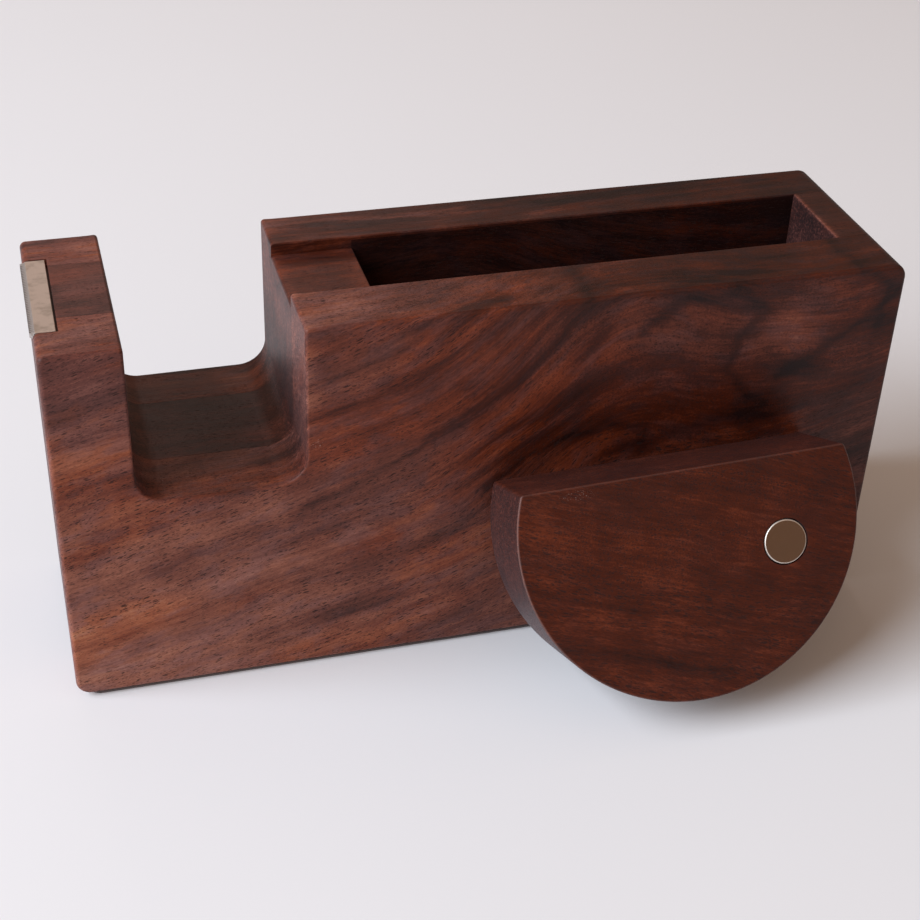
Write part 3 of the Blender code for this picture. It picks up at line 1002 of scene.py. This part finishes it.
# %% The front board's figure
front_figure = dict(
    slope=0.27, lean=1.3, tone=0.765, falls=-0.0020, rises=-0.0016, contrast=0.46,
    # The last number on the next line sets how strong the painted highlight on the rims is.
    smoke=0.26, mauve=0.45, pores=1.0, gloss=0.47, rim_highlight=0.04,
    hills=[((118, 88, 28, 50, 0), 22), ((108, 46, 17, 7, 14), 3), ((153, 68, 12, 11, 0), 4)],
    streaks=[(57, 32, 34, 1.6, 0.20), (68, 27, 24, 1.3, 0.16), (21, 45, 13, 1.6, 0.16),
                (20, 57, 14, 1.8, 0.14)],
    veins=[
        (((51, 42), (68, 49), (82, 58), (95, 66), (104, 76), (110, 84)), 1.2, 0.24),
        (((90, 41), (98, 47), (107, 51), (116, 53), (124, 51.5), (124, 48), (117, 46)), 0.9, 0.26),
        (((124, 46), (137, 50), (146, 51)), 1.4, 0.20),
        (((122, 76), (132, 82), (144, 81), (150, 77), (143, 71), (142, 63), (147, 56), (152, 53)), 1.2, 0.26),
        (((154, 60), (163, 65), (172, 72), (180, 78)), 1.1, 0.26),
        (((176, 70), (178, 80), (170, 83.5)), 1.0, 0.20),
    ],
    # Of these spots, the one at (51, 76) is a painted highlight on the top of the housing's wall, and the one
    # at (34, 50) is painted shade on the notch's floor.
    lights=[((155, 69, 9, 7, 0), 0.16), ((51, 76, 2.5, 9, 0), 0.18), ((8, 76, 20, 6, 0), -0.08),
               ((8, 60, 16, 4, 5), 0.06), ((22, 12, 46, 16, 8), 0.02), ((99, 64, 11, 3, 42), 0.12),
               ((54, 84, 16, 2, 0), 0.08), ((168, 80, 12, 5, 0), 0.12), ((126, 53, 28, 9, 0), -0.12),
               ((34, 50, 18, 2.5, 0), -0.16), ((74, 72, 20, 9, 0), -0.06), ((145, 84.5, 44, 2, 0), -0.16)],
    mauves=[((9, 77, 14, 9, 0), 0.22), ((60, 85, 30, 2, 0), 0.08)],
    embers=[((128, 57, 34, 14, 0), 0.9), ((74, 68, 24, 12, 20), 0.45), ((168, 74, 14, 12, 0), 0.5),
               ((140, 85, 44, 2, 0), 0.8), ((140, 78, 12, 5, 0), 0.5), ((96, 70, 10, 12, 0), 0.5)],
    curls=[(142, 66, 36, 20, 0), (108, 70, 10, 14, 40)],
    scuffs=[(53, 57, 1.6, 1.0, 30)],
)

# %% [markdown]
# The core and the back board show little more than their top edges. The core is even in tone, with a
# painted highlight that picks out the top edge of the well's end wall. The back board has broader bands and
# glows red towards both ends.

# %% The figures of the core and the back board
plain_board = dict(rises=0.0, gloss=0.46, rim_highlight=0.0, veins=[], curls=[], scuffs=[])
core_figure = plain_board | dict(
    slope=0.05, lean=0.6, tone=0.49, falls=-0.0014, contrast=0.36,
    smoke=0.22, mauve=0.3, pores=0.8,
    hills=[((60, 80, 40, 14, 0), 6)],
    streaks=[(45, 80, 10, 1.5, 0.2)],
    # Of these spots, (171.6, 83.8) is a painted highlight on the top edge of the well's end wall, (171, 60)
    # is painted light on that end wall, (34, 49) is painted shade on the notch's floor and (51, 76) is a
    # painted highlight on the top of the housing's wall.
    lights=[((171.6, 83.8, 0.5, 0.5, 0), 0.24), ((171, 60, 2, 30, 0), 0.15), ((34, 49, 18, 3, 0), -0.14),
               ((58, 82, 12, 3, 0), -0.10), ((8, 83, 10, 3, 0), -0.04), ((51, 76, 2.5, 9, 0), 0.18)],
    mauves=[((8, 84, 14, 3, 0), 0.5), ((34, 49, 18, 3, 0), 0.3)],
    embers=[((62, 82, 12, 3, 0), 0.9)],
)
back_figure = plain_board | dict(
    slope=-0.08, lean=-1.4, tone=0.56, falls=-0.0019, contrast=0.56,
    smoke=0.28, mauve=0.5, pores=0.9,
    hills=[((90, 78, 34, 16, 0), 9)],
    streaks=[(96, 82, 16, 2.0, 0.25), (60, 60, 30, 2.0, 0.2), (130, 40, 30, 2.0, 0.2)],
    # The spot at (51, 76) is a painted highlight on the top of the housing's wall.
    lights=[((130, 84, 54, 3, 0), -0.15), ((51, 76, 2.5, 9, 0), 0.18)],
    mauves=[((8, 84, 14, 3, 0), 0.14)],
    embers=[((20, 80, 16, 12, 0), 0.6), ((150, 80, 26, 12, 0), 0.5)],
)

# %% [markdown]
# The insert is a deep, even red. Its grain rises a little to the left in its own frame, with a few darker
# stripes, and there are pale scuffs under its top left corner. Its places count from the disc's centre.

# %% The insert's figure
insert_figure = dict(
    slope=-0.34, lean=0.4, tone=0.295, falls=-0.0009, rises=0.0, contrast=0.16,
    # The last number on the next line sets how strong the painted highlight on the insert's rims is.
    smoke=0.07, mauve=0.12, pores=1.12, gloss=0.47, rim_highlight=0.24,
    hills=[((0, 10, 40, 14, 0), 2)],
    streaks=[(-18, -14, 18, 1.0, 0.10), (14, 4, 18, 1.6, 0.12), (24, 6, 12, 1.0, 0.10),
                (-16, -26, 22, 1.3, 0.14), (4, -32, 22, 1.0, 0.12), (-8, -6, 14, 1.2, 0.07)],
    veins=[], lights=[], mauves=[], embers=[((0, -10, 80, 60, 0), 1.0)],
    curls=[(0, 0, 30, 12, 0)],
    scuffs=[(-23.5, 10.2, 3.6, 1.0, 0)],
)

# %% [markdown]
# The three boards share one corner as the origin of their millimetres, so one figure's places can be
# compared with another's. A seed shifts each board into its own part of the noise, or the grain would
# run on from board to board as if they were one block.

# %% Finish the wood
wood_corner = (X_LEFT, 0.0, Z_WOOD)
paint(front_board, walnut("walnut_front", wood_corner, front_figure, 3.0))
paint(core_board, walnut("walnut_core", wood_corner, core_figure, 41.0))
paint(back_board, walnut("walnut_back", wood_corner, back_figure, 77.0))
paint(insert, walnut("walnut_insert", (0.0, 0.0, 0.0), insert_figure, 119.0))
print("walnut recipes:", [piece.data.materials[0].name for piece in (*boards, insert)])

# %% [markdown]
# ## Steel, nickel and rubber
#
# The blade is fine-ground steel with faint stains from adhesive; between its teeth it is dark, because no
# light reaches there. The magnets' nickel is smoother and warmer, with small clouds in the plating and a
# bright rim. The foam rubber is a dark grey, with closed cells that show only as a fine bump.

# %% The other finishes
def ground_steel():
    r = Recipe("blade_steel")
    place = r.place()
    along_blade = r.node("ShaderNodeVectorMath", {0: place, 1: (1.0, 0.06, 1.0)},
                         operation="MULTIPLY").outputs[0]
    scratches = r.noise(along_blade, 9000.0, 2.0)
    stains = r.noise(place, 260.0, 3.0, 0.6)
    stain = r.ease(stains, 0.45, 0.70)
    across, along, height = r.parts(place)
    ground = r.ease(across, blade_low.x + TOOTH_BAND - 0.05 * MM, blade_low.x + TOOTH_BAND + 0.05 * MM)
    flat = r.mix(stain, (0.63, 0.54, 0.48, 1.0), (0.49, 0.41, 0.35, 1.0))
    colour = r.mix(ground, (0.46, 0.42, 0.40, 1.0), flat)
    groove = r.ease(height, blade_high.z - 0.42 * MM, blade_high.z - 0.14 * MM, 1.0, 0.0)
    half_length = (blade_high.y - blade_low.y) / 2
    from_middle = r.maths("ABSOLUTE", along)
    between_ends = r.ease(from_middle, half_length - 0.9 * MM, half_length - 0.5 * MM, 1.0, 0.0)
    groove = r.times(groove, between_ends)
    r.feed(Base_Color=r.mix(groove, colour, (0.07, 0.055, 0.05, 1.0)), Metallic=1.0)
    r.feed(Roughness=r.total(0.50, r.times(scratches, 0.10), r.times(stain, 0.06)))
    r.bump(scratches, 0.004 * MM, 0.5)
    return r.material


def nickel_plate():
    r = Recipe("magnet_nickel")
    place = r.place()
    clouds = r.noise(place, 320.0, 3.0, 0.55)
    parts = r.parts(place)
    middle = r.vector(parts[0], 0.0, parts[2])
    from_axis = r.node("ShaderNodeVectorMath", {0: middle}, operation="LENGTH").outputs["Value"]
    rim = r.ease(from_axis, magnet_radius - RIM, magnet_radius - RIM * 0.6)
    face = r.mix(clouds, (0.34, 0.24, 0.18, 1.0), (0.28, 0.20, 0.15, 1.0))
    r.feed(Base_Color=r.mix(rim, face, (0.86, 0.80, 0.74, 1.0)), Metallic=1.0)
    r.feed(Roughness=r.total(0.16, r.times(clouds, 0.10), r.times(rim, 0.30)))
    r.bump(r.noise(place, 2500.0, 2.0), 0.003 * MM, 0.5)
    return r.material


def foam_rubber():
    r = Recipe("black_rubber")
    place = r.place()
    cells = r.node("ShaderNodeTexVoronoi", {"Vector": place, "Scale": 2200.0}).outputs["Distance"]
    worn = r.noise(place, 120.0, 3.0)
    r.feed(Base_Color=r.mix(worn, (0.085, 0.070, 0.070, 1.0), (0.130, 0.108, 0.108, 1.0)))
    r.feed(Roughness=r.total(0.72, r.times(worn, 0.18)))
    r.bump(cells, 0.08 * MM, 0.6)
    return r.material


nickel = nickel_plate()
paint(blade, ground_steel())
paint(insert_magnet, nickel)
paint(wall_magnet, nickel)
paint(sheet, foam_rubber())
print("recipes:", [piece.data.materials[0].name for piece in (blade, wall_magnet, sheet)])

# %% [markdown]
# ## What rides on what
#
# Each finished piece stands for one node of the working model and moves with its body. The insert and
# its magnet lift together; everything else stays with the block.

# %% Tie the pieces to the bodies
for piece, body, node, finish in (
    (front_board, "block", "front_board", "walnut_front"),
    (core_board, "block", "core_board", "walnut_core"),
    (back_board, "block", "back_board", "walnut_back"),
    (blade, "block", "cutter_blade", "blade_steel"),
    (wall_magnet, "block", "wall_magnet", "magnet_nickel"),
    (sheet, "block", "anti_slip_sheet", "black_rubber"),
    (insert, "insert", "core_insert", "walnut_insert"),
    (insert_magnet, "insert", "insert_magnet", "magnet_nickel"),
):
    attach(piece, body)
    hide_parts(node)
    print(piece.name, "rides on", body)

# %% [markdown]
# ## Table and light
#
# The dispenser stands on a plain pale table. One large soft light comes from the left, slightly in front
# and not very high, which brightens the ends that look left and lays a soft shadow to the right. The
# rest is the even light of a pale room.

# %% The table
def pale_table():
    bpy.ops.mesh.primitive_circle_add(vertices=96, radius=12.0, fill_type="NGON")
    table = bpy.context.active_object
    table.name = "table"
    r = Recipe("pale_table")
    place = r.place()
    faint = r.noise(place, 3.0, 2.0)
    r.feed(Base_Color=r.mix(faint, (0.78, 0.78, 0.80, 1.0), (0.82, 0.815, 0.83, 1.0)), Roughness=0.7)
    r.feed(Specular_IOR_Level=0.2)
    paint(table, r.material)
    return table


print("table, m across:", round(pale_table().dimensions.x, 1))

# %% [markdown]
# A soft light is an area lamp that is turned to face the dispenser: the larger it is, the softer the
# shadow. The window is by far the strongest and slightly blue. Two weak warm ones stand for a wall behind
# and the far side of the room, and the world's colour fills the shadows.

# %% The lights
def soft_light(name, place, size, power, colour):
    light = bpy.data.lights.new(name, "AREA")
    light.shape = "SQUARE"
    light.size = size
    light.energy = power
    light.color = colour
    holder = bpy.data.objects.new(name, light)
    holder.location = place
    holder.rotation_euler = (-Vector(place)).to_track_quat("-Z", "Y").to_euler()
    bpy.context.scene.collection.objects.link(holder)
    return holder


def room_light(strength, colour):
    world = bpy.data.worlds.new("pale room")
    world.use_nodes = True
    background = world.node_tree.nodes["Background"]
    background.inputs["Color"].default_value = (*colour, 1.0)
    background.inputs["Strength"].default_value = strength
    bpy.context.scene.world = world


soft_light("window", (-1.62, -0.36, 1.16), 1.5, 66.0, (0.83, 0.91, 1.0))
soft_light("far side of the room", (0.9, -1.3, 1.5), 1.6, 2.4, (1.0, 0.90, 0.82))
soft_light("pale wall", (0.02, 1.70, 1.02), 0.75, 1.9, (1.0, 0.88, 0.84))
room_light(1.0, (0.31, 0.214, 0.155))
print("lights:", [light.name for light in bpy.data.lights])
bpy.context.scene.view_settings.view_transform = "Standard"

# %% [markdown]
# ## The camera
#
# The camera looks down at the front from the left, as someone who is seated at the desk would see the
# dispenser.

# %% Place the camera
lens = bpy.data.cameras.new("seated view")
lens.lens = 66.39
lens.sensor_width = 36.0
lens.clip_start = 0.01
lens.dof.use_dof = False
camera = bpy.data.objects.new("seated view", lens)
camera.location = (-0.09251, -0.30620, 0.24997)
camera.rotation_euler = [math.radians(angle) for angle in (55.70, -1.88, -15.59)]
bpy.context.scene.collection.objects.link(camera)
bpy.context.scene.camera = camera
